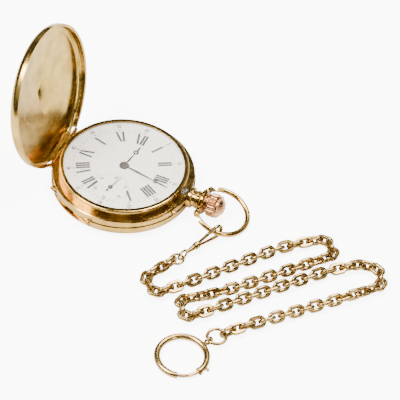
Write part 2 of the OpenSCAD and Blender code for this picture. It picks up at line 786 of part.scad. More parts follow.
module cannon_pinion() {
    color(STEEL) difference() {
        union() {
            translate([0, 0, plate_top + 0.06]) cylinder(r = minute_pipe_r, h = minute_z + hand_t + 0.15 - plate_top - 0.06);
            pinion(cannon_n, motion_m, 20, motion_lower_z, wheel_t);
            translate([0, 0, minute_z + hand_t]) cylinder(r = 1.1, h = 0.16);
        }
        translate([0, 0, plate_top]) cylinder(r = 0.4, h = minute_z - plate_top);
    }
}

module hour_wheel() {
    mesh = 20;
    color(BRASS) difference() {
        union() {
            translate([0, 0, motion_upper_z]) linear_extrude(wheel_t) teeth_2d(hour_wheel_n, motion_m, mesh);
            translate([0, 0, motion_upper_z]) cylinder(r = hour_pipe_r, h = hour_z + hand_t - motion_upper_z);
        }
        translate([0, 0, motion_upper_z - over]) cylinder(r = minute_pipe_r + 0.05, h = 5);
    }
}

module minute_wheel() {
    lower = 200 + 180 / minute_wheel_n;
    upper = 200 + 180 / minute_pinion_n;
    color(BRASS) translate([minute_wheel_at[0], minute_wheel_at[1], 0]) difference() {
        union() {
            translate([0, 0, motion_lower_z]) linear_extrude(wheel_t) teeth_2d(minute_wheel_n, motion_m, lower);
            translate([0, 0, motion_lower_z]) cylinder(r = 0.45, h = motion_upper_z - motion_lower_z);
            pinion(minute_pinion_n, motion_m, upper, motion_upper_z, wheel_t);
        }
        translate([0, 0, motion_lower_z - over]) cylinder(r = 0.25 + fit, h = 3);
    }
}

// ---- Movement ----

// Where each bridge stands on the plate, as [radius, angle]
bridge_r = plate_r - 0.3;
foot_r = 0.9;
barrel_feet = [polar(bridge_r - 1.2, 80), polar(bridge_r - 1.2, 20), polar(bridge_r - 1.2, 112)];
train_feet = [polar(bridge_r - 1.2, -25), polar(bridge_r - 1.2, -78), polar(bridge_r - 1.2, -110)];
cock_foot = polar(bridge_r - 1.6, 172);
pallet_cock_z = balance_z + 0.4;
pallet_cock_t = 0.2;
pallet_foot = pallet_at + polar(2.6, 150);

module main_plate() {
    color(BRASS) difference() {
        union() {
            translate([0, 0, plate_z]) cylinder(r = plate_r, h = plate_top - plate_z, $fn = 180);
            translate([0, 0, ledge_z]) cylinder(r = flange_r, h = plate_top - ledge_z, $fn = 180);
            translate([0, 0, plate_top]) difference() {
                cylinder(r = flange_r, h = dial_z - plate_top, $fn = 180);
                translate([0, 0, -over]) cylinder(r = flange_r - 1.2, h = 3, $fn = 180);
            }
            translate([minute_wheel_at[0], minute_wheel_at[1], plate_top]) cylinder(r = 0.25, h = 0.7);
        }
        translate([0, 0, plate_z - over]) cylinder(r = 0.75, h = 5);
        translate([sub_at[0], sub_at[1], plate_z - over]) cylinder(r = 0.45, h = 5);
        for (p = [third_at, escape_at, pallet_at, balance_at]) translate([p[0], p[1], plate_z - over])
            cylinder(r = pivot_r + fit, h = 1.6, $fn = 24);
        translate([barrel_at[0], barrel_at[1], plate_z - over]) cylinder(r = 0.7 + fit, h = 1.7);
        stem_bore(stem_r + 0.1);
        translate([winding_pinion_x - 0.15, 0, stem_z]) rotate([0, 90, 0])
            cylinder(r = winding_pinion_r + 0.15, h = winding_pinion_w + 0.3);
        translate([winding_pinion_x - clutch_w - 0.8, 0, stem_z]) rotate([0, 90, 0])
            cylinder(r = clutch_r + 0.15, h = clutch_w + 0.8);
    }
}

module feet(points) {
    for (p = points) translate([p[0], p[1], train_z]) cylinder(r = foot_r, h = plate_z - train_z);
}

module screw_holes(points) {
    for (p = points) translate([p[0], p[1], bridge_z - over]) {
        cylinder(r = 0.35, h = 4);
        cylinder(r = 0.7, h = over + 0.3);
    }
}

module jewel_hole(p) translate([p[0], p[1], bridge_z - over]) cylinder(r = jewel_r, h = 3);

module barrel_bridge() {
    color(BRASS) difference() {
        union() {
            translate([0, 0, bridge_z]) linear_extrude(bridge_t) difference() {
                intersection() {
                    circle(bridge_r, $fn = 180);
                    translate([-8, -1.6]) square([30, 30]);
                }
                translate([-8, -1.6]) circle(2.2);
            }
            feet(barrel_feet);
        }
        translate([0, 0, bridge_z - over]) cylinder(r = 0.3 + fit, h = 3);
        translate([barrel_at[0], barrel_at[1], bridge_z - over]) cylinder(r = 0.9 + fit, h = 3);
        translate([crown_wheel_at[0], crown_wheel_at[1], bridge_z - over]) cylinder(r = 0.7 + fit, h = 3);
        translate([crown_wheel_at[0], crown_wheel_at[1], bridge_z - over]) difference() {
            cylinder(r = skirt_r + skirt_t / 2 + 0.1, h = over + 0.75);
            translate([0, 0, -over]) cylinder(r = skirt_r - skirt_t / 2 - 0.1, h = 5);
        }
        translate([winding_pinion_x - 0.1, 0, stem_z]) rotate([0, 90, 0])
            cylinder(r = winding_pinion_r + 0.1, h = winding_pinion_w + 0.2);
        screw_holes(barrel_feet);
    }
}

module train_bridge() {
    color(BRASS) difference() {
        union() {
            translate([0, 0, bridge_z]) linear_extrude(bridge_t) difference() {
                intersection() {
                    circle(bridge_r, $fn = 180);
                    translate([-6.6, -30]) square([30, 28]);
                }
                translate(balance_at) circle(3.2);
            }
            feet(train_feet);
        }
        for (p = [third_at, sub_at, escape_at]) jewel_hole(p);
        screw_holes(train_feet);
        translate([crown_wheel_at[0], crown_wheel_at[1], bridge_z - over])
            cylinder(r = skirt_r + skirt_t / 2 + 0.1, h = over + 0.75);
        translate([winding_pinion_x - 0.1, 0, stem_z]) rotate([0, 90, 0])
            cylinder(r = winding_pinion_r + 0.1, h = winding_pinion_w + 0.2);
    }
}

module balance_cock() {
    reach = norm(balance_at - cock_foot);
    color(BRASS) difference() {
        union() {
            translate([cock_foot[0], cock_foot[1], bridge_z]) rotate([0, 0, angle_to(cock_foot, balance_at)])
                linear_extrude(bridge_t) {
                    circle(1.6);
                    polygon([[0, -1.6], [reach, -1.2], [reach, 1.2], [0, 1.6]]);
                    translate([reach, 0]) circle(1.9);
                }
            translate([cock_foot[0], cock_foot[1], train_z]) cylinder(r = 1.5, h = plate_z - train_z);
        }
        jewel_hole(balance_at);
        screw_holes([cock_foot]);
    }
}

module pallet_cock() {
    color(BRASS) difference() {
        union() {
            translate([pallet_foot[0], pallet_foot[1], pallet_cock_z])
                rotate([0, 0, angle_to(pallet_foot, pallet_at)]) linear_extrude(pallet_cock_t) {
                    circle(0.8);
                    translate([0, -0.5]) square([2.6, 1]);
                    translate([2.6, 0]) circle(0.6);
                }
            translate([pallet_foot[0], pallet_foot[1], pallet_cock_z])
                cylinder(r = 0.6, h = plate_z - pallet_cock_z);
        }
        translate([pallet_at[0], pallet_at[1], pallet_cock_z - over]) cylinder(r = pivot_r + fit, h = 3, $fn = 24);
    }
}

module barrel() {
    drum = 7.7;
    wall = 0.35;
    mesh = angle_to(barrel_at, [0, 0]);
    color(BRASS) translate([barrel_at[0], barrel_at[1], 0]) difference() {
        union() {
            translate([0, 0, barrel_z]) cylinder(r = drum, h = barrel_h);
            translate([0, 0, barrel_teeth_z]) linear_extrude(0.35) teeth_2d(barrel_n, barrel_m, mesh);
        }
        translate([0, 0, barrel_z + 0.2]) cylinder(r = drum - wall, h = barrel_h - 0.4);
        translate([0, 0, barrel_z - over]) cylinder(r = 0.9 + 0.03, h = 5);
    }
}

module barrel_arbor() {
    color(STEEL) translate([barrel_at[0], barrel_at[1], 0]) {
        translate([0, 0, ratchet_z]) linear_extrude(ratchet_t + 0.1) square(1.1, center = true);
        translate([0, 0, bridge_z]) cylinder(r = 0.9, h = barrel_z + 0.25 - bridge_z);
        translate([0, 0, barrel_z + 0.25]) cylinder(r = 1.7, h = barrel_h - 0.5);
        translate([0, 0, barrel_z + barrel_h - 0.25]) cylinder(r = 0.9, h = 0.35);
        translate([0, 0, barrel_z + barrel_h + 0.1]) cylinder(r = 0.7, h = 0.6);
    }
}

module mainspring() {
    color(BLUED) translate([barrel_at[0], barrel_at[1], barrel_z + 0.3])
        linear_extrude(barrel_h - 0.6) spiral(1.9, 7.1, mainspring_turns, 0.16, 24);
}

module ratchet_wheel() {
    mesh = angle_to(barrel_at, crown_wheel_at);
    color(STEEL) translate([barrel_at[0], barrel_at[1], ratchet_z]) linear_extrude(ratchet_t) difference() {
        teeth_2d(ratchet_n, winding_m, mesh);
        square(1.1, center = true);
    }
}

module click() {
    click_at = barrel_at + polar(winding_m * (ratchet_n / 2 + 0.75) + 1.6, 120);
    color(STEEL) translate([click_at[0], click_at[1], ratchet_z]) linear_extrude(ratchet_t - 0.02) difference() {
        union() {
            circle(0.9);
            rotate(20) polygon([[-0.7, -0.5], [-0.9, -1.5], [-0.4, -1.62], [0.8, -0.4]]);
        }
        circle(0.3 + fit);
    }
}

module crown_wheel() {
    mesh = angle_to(crown_wheel_at, barrel_at) + 180 / crown_wheel_n;
    color(STEEL) translate([crown_wheel_at[0], crown_wheel_at[1], 0]) {
        translate([0, 0, ratchet_z]) linear_extrude(ratchet_t) difference() {
            teeth_2d(crown_wheel_n, winding_m, mesh);
            circle(0.3);
        }
        translate([0, 0, ratchet_z + ratchet_t]) difference() {
            cylinder(r = skirt_r + skirt_t / 2, h = 0.7);
            translate([0, 0, -over]) cylinder(r = skirt_r - skirt_t / 2, h = 3);
        }
        translate([0, 0, ratchet_z + ratchet_t]) cylinder(r = 0.7, h = 0.6);
    }
}

module centre_wheel() {
    color(BRASS) {
        translate([0, 0, centre_wheel_z]) spoked_wheel(centre_n, centre_m, third_a, 5, 1.3, 0.2);
        translate([0, 0, centre_wheel_z]) cylinder(r = 0.7, h = plate_z - centre_wheel_z - 0.5);
        pinion(centre_pinion_n, barrel_m, barrel_a + 180 / centre_pinion_n, 3.9, 0.95);
        translate([0, 0, train_z - 0.5]) cylinder(r = 0.3, h = 1);
        translate([0, 0, plate_z - 0.6]) cylinder(r = 0.4, h = minute_z - 0.1 - plate_z + 0.6);
    }
}

module third_wheel() {
    mesh = angle_to([0, 0], third_at) + 180 + 180 / third_pinion_n;
    color(BRASS) translate([third_at[0], third_at[1], 0]) {
        translate([0, 0, third_wheel_z])
            spoked_wheel(third_n, third_m, angle_to(third_at, sub_at), 4, 1.1, 0.2);
        pinion(third_pinion_n, centre_m, mesh, train_z + 0.05, 0.7);
        arbor(0.45, train_z + 0.05, plate_z - 0.05, train_z - 0.28, plate_z + 0.4);
    }
}

module fourth_wheel() {
    mesh = angle_to(third_at, sub_at) + 180 + 180 / fourth_pinion_n;
    color(BRASS) translate([sub_at[0], sub_at[1], 0]) {
        translate([0, 0, fourth_wheel_z])
            spoked_wheel(fourth_n, escape_m, angle_to(sub_at, escape_at), 4, 0.9, 0.2);
        pinion(fourth_pinion_n, third_m, mesh, third_wheel_z - 0.15, 0.55);
        arbor(0.4, train_z + 0.05, plate_z - 0.05, train_z - 0.28, plate_z);
        translate([0, 0, plate_z - 0.1]) cylinder(r = seconds_post_r, h = seconds_z + hand_t + 0.1 - plate_z);
    }
}

module escape_wheel() {
    mesh = angle_to(sub_at, escape_at) + 180 + 180 / escape_pinion_n;
    color(BRASS) translate([escape_at[0], escape_at[1], 0]) {
        translate([0, 0, escape_wheel_z]) linear_extrude(wheel_t) difference() {
            union() {
                circle(escape_r - 0.6);
                for (k = [1:escape_n]) rotate(k * 360 / escape_n) polygon([
                    [escape_r - 0.75, -0.22], [escape_r - 0.35, 0.02], [escape_r, 0.18], [escape_r, 0.26],
                    [escape_r - 0.5, 0.24], [escape_r - 0.75, 0.22]
                ]);
            }
            for (k = [0:3]) rotate(k * 90 + 45) translate([1.15, 0]) circle(0.5);
        }
        pinion(escape_pinion_n, escape_m, mesh, fourth_wheel_z - 0.1, 0.42);
        arbor(0.28, train_z + 0.05, plate_z - 0.05, train_z - 0.28, plate_z + 0.4);
    }
}

module pallet_lever() {
    toward = angle_to(pallet_at, escape_at);
    color(STEEL) translate([pallet_at[0], pallet_at[1], 0]) {
        translate([0, 0, escape_wheel_z]) linear_extrude(wheel_t) {
            circle(0.45);
            for (a = [-70, 70]) rotate(toward + a) translate([0, -0.16]) square([1.65, 0.32]);
            rotate(lever_a) translate([0, -0.14]) square([lever_l - 1.15, 0.28]);
            for (s = [-1, 1]) rotate(lever_a) translate([lever_l - 1.3, s * 0.3 - 0.1]) square([0.55, 0.2]);
            rotate(lever_a) translate([lever_l - 1.3, -0.35]) square([0.2, 0.7]);
        }
        arbor(0.2, pallet_cock_z + pallet_cock_t + 0.03, plate_z - 0.05, pallet_cock_z + 0.02, plate_z + 0.4);
    }
}

module balance_wheel() {
    rim = 0.55;
    screws = 16;
    color(BRASS) translate([balance_at[0], balance_at[1], 0]) {
        translate([0, 0, balance_z]) linear_extrude(0.3) {
            difference() {
                circle(balance_r - 0.3);
                circle(balance_r - 0.3 - rim);
            }
            difference() {
                union() {
                    circle(0.9);
                    rotate(35) translate([-balance_r + 0.6, -0.25]) square([2 * balance_r - 1.2, 0.5]);
                }
                circle(0.2);
            }
        }
        for (k = [0:screws - 1]) rotate([0, 0, (k + 0.5) * 360 / screws])
            translate([balance_r - 0.4, 0, balance_z + 0.15]) rotate([0, 90, 0]) cylinder(r = 0.14, h = 0.4, $fn = 16);
        arbor(0.3, train_z + 0.03, plate_z - 0.05, train_z - 0.28, plate_z + 0.4);
        translate([0, 0, escape_wheel_z - 0.1]) difference() {
            cylinder(r = 0.75, h = 0.12);
            translate([0, 0, -over]) cylinder(r = 0.2, h = 3);
        }
        rotate([0, 0, lever_a + 180]) translate([0.6, 0, escape_wheel_z]) cylinder(r = 0.1, h = 0.22, $fn = 16);
    }
}

module hairspring() {
    color(BLUED) translate([balance_at[0], balance_at[1], train_z + 0.1])
        linear_extrude(0.2) spiral(0.5, 3.1, hairspring_turns, 0.06, 20);
}

module regulator() {
    color(STEEL) translate([balance_at[0], balance_at[1], bridge_z - 0.12]) linear_extrude(0.1) difference() {
        union() {
            circle(1.3);
            rotate(95) translate([0, -0.2]) square([5.2, 0.4]);
            rotate(-85) translate([0, -0.15]) square([2.4, 0.3]);
        }
        circle(0.75);
    }
}

module winding_pinion() {
    color(STEEL) translate([winding_pinion_x, 0, stem_z]) rotate([0, 90, 0]) linear_extrude(winding_pinion_w)
        difference() {
            flutes_2d(winding_pinion_r, 0.35, 16);
            circle(stem_r + fit);
        }
}

module clutch_wheel() {
    color(STEEL) translate([winding_pinion_x - clutch_w - 0.1, 0, stem_z]) rotate([0, 90, 0]) difference() {
        cylinder(r = clutch_r, h = clutch_w);
        translate([0, 0, -over]) linear_extrude(5) square(stem_square + 0.04, center = true);
        translate([0, 0, clutch_w / 2]) rotate_extrude() translate([clutch_r, 0]) circle(0.3);
    }
}

module jewels() {
    color(RUBY) for (p = [third_at, sub_at, escape_at, balance_at])
        translate([p[0], p[1], train_z - jewel_t - 0.02]) difference() {
            cylinder(r = jewel_r, h = jewel_t);
            translate([0, 0, -over]) cylinder(r = pivot_r + fit, h = 3, $fn = 24);
        }
}

module bridge_screws() {
    color(BLUED) for (p = concat(barrel_feet, train_feet, [cock_foot])) translate([p[0], p[1], bridge_z])
        difference() {
            union() {
                cylinder(r = 0.65, h = 0.28);
                cylinder(r = 0.33, h = plate_z - bridge_z - 0.2);
            }
            translate([-1, -0.1, -over]) cube([2, 0.2, over + 0.12]);
        }
}

// ---- Swivel, chain and bolt ring ----

// Puts children along the swivel: +X runs from the bow's wire to the chain, nearly level
module on_swivel() translate([bow_wire_at[0], bow_wire_at[1], hook_z]) rotate([0, 0, swivel_a])
    rotate([0, swivel_fall, 0]) children();

// A tapered round bar between two points of the upright plane through the swivel
module bar_xz(p, q, r_p, r_q) translate([p[0], 0, p[1]])
    rotate([0, 90 - atan2(q[1] - p[1], q[0] - p[0]), 0]) cylinder(r1 = r_p, r2 = r_q, h = norm(q - p));

// The hook's loop stands upright round the bow's wire, and its arm runs over to the collar
module swivel_hook() {
    half = hook_wire / 2;
    from_a = 82;
    color(GOLD) on_swivel() translate([hook_pull, 0, 0]) {
        rotate([90, 0, 0]) rotate([0, 0, from_a]) rotate_extrude(angle = 188)
            translate([hook_r, 0]) circle(half, $fn = 32);
        difference() {
            bar_xz(polar(hook_r, from_a), [arm_x - hook_pull + 0.3, arm_z], half, half - 0.1);
            translate([arm_x - hook_pull + 0.2, -2, -2]) cube([4, 4, 4]);
        }
        translate([arm_x - hook_pull, 0, 0]) rotate([0, 90, 0]) difference() {
            rotate_extrude() difference() {
                square([collar_r, collar_w]);
                translate([collar_r + 0.12, collar_w / 2]) circle(0.3, $fn = 24);
            }
            translate([0, 0, collar_w - 0.5]) cylinder(r = 0.45 + fit, h = 1);
            translate([collar_r * 0.2, -0.55, -0.01]) cube([collar_r, 1.1, 0.4]);
        }
    }
}

module swivel_gate() {
    color(ROSE_GOLD) on_swivel() difference() {
        intersection() {
            bar_xz([arm_x + 0.1, gate_z], [hook_pull + 0.45, -hook_r], 0.45, 0.62);
            translate([hook_pull, -0.48, -hook_r - 2]) cube([arm_x - hook_pull + 0.05, 0.96, 8]);
        }
        translate([hook_pull, 0, 0]) rotate([90, 0, 0]) rotate([0, 0, 180]) rotate_extrude(angle = 95)
            translate([hook_r, 0]) circle(hook_wire / 2 + 0.05, $fn = 32);
    }
}

module swivel_eye() {
    color(GOLD) on_swivel() {
        translate([neck_x, 0, 0]) rotate([0, 90, 0]) rotate_extrude() polygon([
            [0, -0.4], [0.45, -0.4], [0.45, 0], [1.05, 0], [1.15, 0.25], [0.95, 0.5], [0.62, neck_l], [0, neck_l]
        ]);
        translate([eye_x, 0, 0]) rotate([90, 0, 0]) ring(eye_r, eye_wire);
    }
}

module jump_rings() {
    color(GOLD) translate([jump_at[0], jump_at[1], jump_z]) ring(jump_r, eye_wire);
}

// A link: a round-ended loop of wire with filed flats, along +X
module link() {
    half = link_wire / 2;
    end_r = (link_w - link_wire) / 2;
    side = link_l / 2 - half - end_r;
    intersection() {
        union() {
            for (s = [-1, 1]) {
                translate([s * side, 0, 0]) rotate([0, 0, -s * 90]) rotate_extrude(angle = 180)
                    translate([end_r, 0]) circle(half, $fn = 24);
                translate([-side, s * end_r, 0]) rotate([0, 90, 0]) cylinder(r = half, h = 2 * side, $fn = 24);
            }
        }
        cube([link_l * 2, link_w * 2, link_wire * 0.9], center = true);
    }
}

module links(from, to) {
    color(GOLD) for (i = [from:to]) translate([LINKS[i][0], LINKS[i][1], chain_z])
        rotate([0, 0, LINKS[i][2]]) rotate([LINKS[i][3], 0, 0]) link();
}

module chain_run_1() links(0, row_links(0) - 1);
module chain_run_2() links(row_links(0), row_links(1) - 1);
module chain_run_3() links(row_links(1), row_links(2) - 1);
module chain_run_4() links(row_links(2), row_links(3) - 1);

module end_ring() {
    color(GOLD) translate([end_ring_at[0], end_ring_at[1], end_ring_z]) ring(end_ring_r, end_ring_wire);
}

// Puts children at the middle of the bolt ring, level with its tube
module on_bolt_ring() translate([bolt_at[0], bolt_at[1], bolt_z]) children();

// A stretch of a ring of the given section, from one angle to another
module ring_arc(from, to) rotate([0, 0, from]) rotate_extrude(angle = to - from, $fn = 96)
    translate([bolt_r, 0]) children();

module bolt_ring() {
    tube = bolt_tube / 2;
    loop_out = norm(bolt_loop_at - bolt_at);
    color(GOLD) on_bolt_ring() difference() {
        union() {
            ring_arc(flange_a, 360 + bolt_open_a) circle(tube, $fn = 40);
            ring_arc(flange_a - 1.5, flange_a + 1.5) circle(1.4, $fn = 40);
            rotate([0, 0, bolt_heading + 180]) translate([loop_out, 0, bolt_z * 0.7]) rotate([90, 0, 0])
                ring(bolt_loop_r, bolt_loop_wire);
        }
        ring_arc(flange_a - 3, knob_a + knob_travel + 8) circle(bolt_wire_r + 0.05, $fn = 32);
        ring_arc(bolt_open_a + 359.5 - 3, bolt_open_a + 361) circle(bolt_wire_r + 0.05, $fn = 32);
        ring_arc(knob_a - 3, knob_a + knob_travel + 3) translate([0, -0.34]) square([3, 0.68]);
        translate([-case_d, -case_d, -bolt_z - 3]) cube([2 * case_d, 2 * case_d, 3]);
    }
}

module bolt_slider() {
    color(ROSE_GOLD) on_bolt_ring() {
        ring_arc(bolt_open_a - 2.4, knob_a + 4) circle(bolt_wire_r, $fn = 32);
        rotate([0, 0, knob_a]) translate([bolt_r, 0, 0]) rotate([0, 90, 0]) cylinder(r = 0.28, h = bolt_tube / 2 + 0.3);
        rotate([0, 0, knob_a]) translate([bolt_r + bolt_tube / 2 + 0.6, 0, 0]) sphere(0.62);
    }
}

case_middle();
pendant();
lid();
lid_hinge_pin();
back_cover();
back_hinge_pin();
cuvette();
bezel();
crystal();
lid_spring();
lock_spring();
crown();
winding_stem();
stem_sleeve();
bow();
bow_screws();
setting_pin();
setting_pin_guard();
dial();
sub_dial();
hour_hand();
minute_hand();
seconds_hand();
cannon_pinion();
hour_wheel();
minute_wheel();
main_plate();
barrel_bridge();
train_bridge();
balance_cock();
pallet_cock();
barrel();
barrel_arbor();
mainspring();
ratchet_wheel();
click();
crown_wheel();
centre_wheel();
third_wheel();
fourth_wheel();
escape_wheel();
pallet_lever();
balance_wheel();
hairspring();
regulator();
winding_pinion();
clutch_wheel();
jewels();
bridge_screws();
swivel_hook();
swivel_gate();
swivel_eye();
jump_rings();
chain_run_1();
chain_run_2();
chain_run_3();
chain_run_4();
end_ring();
bolt_ring();
bolt_slider();
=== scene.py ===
import json
import math

import bmesh
import bpy
from mathutils import Matrix, Vector


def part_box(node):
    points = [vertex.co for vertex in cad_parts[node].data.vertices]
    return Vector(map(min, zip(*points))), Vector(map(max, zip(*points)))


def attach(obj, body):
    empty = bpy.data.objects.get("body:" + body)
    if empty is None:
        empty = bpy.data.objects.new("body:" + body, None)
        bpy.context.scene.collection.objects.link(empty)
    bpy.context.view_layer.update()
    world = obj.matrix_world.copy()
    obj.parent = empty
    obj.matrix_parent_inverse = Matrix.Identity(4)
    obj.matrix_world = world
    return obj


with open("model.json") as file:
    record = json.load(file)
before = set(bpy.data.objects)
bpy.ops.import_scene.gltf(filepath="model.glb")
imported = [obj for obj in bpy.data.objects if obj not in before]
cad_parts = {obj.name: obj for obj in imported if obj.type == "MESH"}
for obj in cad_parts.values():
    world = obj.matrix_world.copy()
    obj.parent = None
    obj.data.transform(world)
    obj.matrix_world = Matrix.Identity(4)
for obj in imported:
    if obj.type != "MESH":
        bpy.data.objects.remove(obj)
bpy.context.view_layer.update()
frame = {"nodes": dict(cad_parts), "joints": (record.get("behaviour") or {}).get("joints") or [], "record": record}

MM = 0.001


# ---- Node helpers ----

class Nodes:
    """A short way to build a material's node tree."""

    def __init__(self, tree):
        self.tree = tree

    def add(self, kind, inputs=None, **props):
        node = self.tree.nodes.new(kind)
        for key, value in props.items():
            setattr(node, key, value)
        for key, value in (inputs or {}).items():
            if isinstance(value, bpy.types.NodeSocket):
                self.tree.links.new(value, node.inputs[key])
            else:
                node.inputs[key].default_value = value
        return node

    def noise(self, scale, detail=3.0, stretch=(1, 1, 1)):
        """Noise in object space, so that it stays on the piece when it moves."""
        place = self.add("ShaderNodeTexCoord")
        mapping = self.add("ShaderNodeMapping", {"Vector": place.outputs["Object"], "Scale": stretch})
        node = self.add("ShaderNodeTexNoise", {
            "Vector": mapping.outputs["Vector"], "Scale": scale, "Detail": detail, "Roughness": 0.6})
        return node.outputs["Fac"]

    def spread(self, value, low, high, to_low, to_high):
        node = self.add("ShaderNodeMapRange", {
            "Value": value, "From Min": low, "From Max": high, "To Min": to_low, "To Max": to_high})
        return node.outputs["Result"]

    def ramp(self, value, stops):
        node = self.add("ShaderNodeValToRGB", {"Fac": value})
        elements = node.color_ramp.elements
        while len(elements) < len(stops):
            elements.new(0.5)
        for element, (at, colour) in zip(elements, stops):
            element.position = at
            element.color = (*colour, 1)
        return node.outputs["Color"]

    def bump(self, height, strength, distance, normal=None):
        inputs = {"Height": height, "Strength": strength, "Distance": distance}
        if normal is not None:
            inputs["Normal"] = normal
        return self.add("ShaderNodeBump", inputs).outputs["Normal"]


def material(name):
    made = bpy.data.materials.new(name)
    made.use_nodes = True
    made.node_tree.nodes.clear()
    nodes = Nodes(made.node_tree)
    shader = nodes.add("ShaderNodeBsdfPrincipled")
    nodes.add("ShaderNodeOutputMaterial", {"Surface": shader.outputs["BSDF"]})
    return made, nodes, shader


def link(nodes, shader, **sockets):
    for name, value in sockets.items():
        socket = shader.inputs[name.replace("_", " ")]
        if isinstance(value, bpy.types.NodeSocket):
            nodes.tree.links.new(value, socket)
        else:
            socket.default_value = value


# ---- Materials ----

def polished_metal(name, dark, mid, light, rough, scratch=0.05, wear=0.012):
    """Polished metal that has been carried: cloudy tarnish, hairline scratches and small dents."""
    made, nodes, shader = material(name)
    cloud = nodes.noise(180, 4)
    colour = nodes.ramp(cloud, [(0.3, dark), (0.5, mid), (0.72, light)])
    hairs = nodes.noise(2600, 2, (1, 0.06, 1))
    fine = nodes.noise(2100, 2, (0.07, 1, 1))
    dents = nodes.noise(420, 1)
    both = nodes.add("ShaderNodeMath", {0: hairs, 1: fine}, operation="MULTIPLY").outputs[0]
    roughness = nodes.spread(both, 0.12, 0.42, rough, rough + 0.14)
    normal = nodes.bump(both, scratch, 0.00002)
    normal = nodes.bump(dents, wear, 0.0004, normal)
    link(nodes, shader, Base_Color=colour, Metallic=1.0, Roughness=roughness, Normal=normal)
    return made


def grained_metal(name, dark, mid, rough):
    """Satin metal with a fine grain, for the movement."""
    made, nodes, shader = material(name)
    grain = nodes.noise(900, 3)
    colour = nodes.ramp(grain, [(0.3, dark), (0.7, mid)])
    roughness = nodes.spread(grain, 0.3, 0.7, rough, rough + 0.2)
    link(nodes, shader, Base_Color=colour, Metallic=1.0, Roughness=roughness,
         Normal=nodes.bump(grain, 0.25, 0.00003))
    return made


def enamel(name):
    """Fired white enamel: faintly mottled, glossy, with the slightest ripple."""
    made, nodes, shader = material(name)
    mottle = nodes.noise(260, 4)
    colour = nodes.ramp(mottle, [
        (0.3, (0.93, 0.88, 0.80)), (0.6, (0.96, 0.92, 0.86)), (0.8, (0.98, 0.95, 0.90))])
    link(nodes, shader, Base_Color=colour, Roughness=nodes.spread(mottle, 0.3, 0.7, 0.22, 0.32),
         Normal=nodes.bump(nodes.noise(500, 1), 0.06, 0.0001))
    shader.inputs["Coat Weight"].default_value = 0.35
    shader.inputs["Coat Roughness"].default_value = 0.08
    return made


def print_ink(name):
    made, nodes, shader = material(name)
    patch = nodes.noise(900, 3)
    colour = nodes.ramp(patch, [(0.3, (0.004, 0.004, 0.005)), (0.7, (0.012, 0.012, 0.014))])
    link(nodes, shader, Base_Color=colour,
         Roughness=nodes.spread(patch, 0.3, 0.7, 0.35, 0.5))
    return made


def watch_glass(name):
    """Clear crystal, with a soft haze of wear that catches the light."""
    made, nodes, shader = material(name)
    haze = nodes.noise(700, 3)
    link(nodes, shader, Base_Color=nodes.ramp(haze, [(0.3, (0.95, 0.96, 0.96)), (0.7, (1.0, 1.0, 1.0))]),
         Roughness=nodes.spread(haze, 0.35, 0.7, 0.02, 0.06), Alpha=0.035)
    shader.inputs["IOR"].default_value = 1.5
    return made


def jewel_red(name):
    made, nodes, shader = material(name)
    depth = nodes.noise(900, 2)
    link(nodes, shader, Base_Color=nodes.ramp(depth, [(0.3, (0.35, 0.01, 0.05)), (0.7, (0.65, 0.04, 0.12))]),
         Roughness=nodes.spread(depth, 0.3, 0.7, 0.05, 0.15))
    shader.inputs["Transmission Weight"].default_value = 0.5
    return made


MATERIALS = {
    "case_gold": polished_metal(
        "case_gold", (0.32, 0.185, 0.04), (0.49, 0.31, 0.075), (0.60, 0.40, 0.12), 0.09),
    "lid_gold": polished_metal(
        "lid_gold", (0.36, 0.22, 0.05), (0.50, 0.335, 0.08), (0.60, 0.42, 0.12), 0.12, 0.06),
    # Painted light: the lid's own gold made lighter for the brightly lit inside of the lid
    "lid_inside_painted_light": polished_metal(
        "lid_inside_painted_light", (0.42, 0.26, 0.045), (0.54, 0.37, 0.08), (0.64, 0.46, 0.125), 0.17, 0.03, 0.02),
    "chain_gold": polished_metal(
        "chain_gold", (0.24, 0.145, 0.04), (0.40, 0.265, 0.085), (0.50, 0.345, 0.13), 0.16, 0.1, 0.03),
    "hub_bronze": polished_metal(
        "hub_bronze", (0.02, 0.012, 0.008), (0.05, 0.03, 0.02), (0.09, 0.055, 0.04), 0.3),
    "rose_gold": polished_metal(
        "rose_gold", (0.40, 0.20, 0.09), (0.60, 0.34, 0.16), (0.72, 0.44, 0.23), 0.18, 0.08),
    "movement_brass": grained_metal("movement_brass", (0.42, 0.30, 0.10), (0.62, 0.47, 0.19), 0.3),
    "steel": polished_metal("steel", (0.40, 0.41, 0.43), (0.52, 0.53, 0.55), (0.62, 0.63, 0.65), 0.2),
    "blued_steel": polished_metal(
        "blued_steel", (0.004, 0.005, 0.010), (0.008, 0.010, 0.022), (0.014, 0.018, 0.04), 0.25),
    "enamel": enamel("enamel"),
    "ruby": jewel_red("ruby"),
    "crystal_glass": watch_glass("crystal_glass"),
    "ink": print_ink("ink"),
}

SLOT_MATERIAL = {"gold": "case_gold"}
CHAIN_NODES = ("swivel", "jump", "chain", "end_ring", "bolt")


def finish_of(node, slot):
    if node == "lid":
        return "lid_gold"
    if slot == "gold" and node.startswith(CHAIN_NODES):
        return "chain_gold"
    return SLOT_MATERIAL.get(slot, slot)


def dress_cad_nodes():
    slots = {part["node"]: part["material_slot"] for part in frame["record"]["subparts"]}
    for name, node in frame["nodes"].items():
        finish = MATERIALS[finish_of(name, slots[name])]
        for material_slot in node.material_slots:
            material_slot.material = finish
        if not node.material_slots:
            node.data.materials.append(finish)


# ---- Mesh helpers ----

def mesh_object(name, bm, finish, body, smooth=False):
    mesh = bpy.data.meshes.new(name)
    bm.normal_update()
    bm.to_mesh(mesh)
    bm.free()
    for face in mesh.polygons:
        face.use_smooth = smooth
    made = bpy.data.objects.new(name, mesh)
    bpy.context.collection.objects.link(made)
    mesh.materials.append(MATERIALS[finish])
    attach(made, body)
    return made


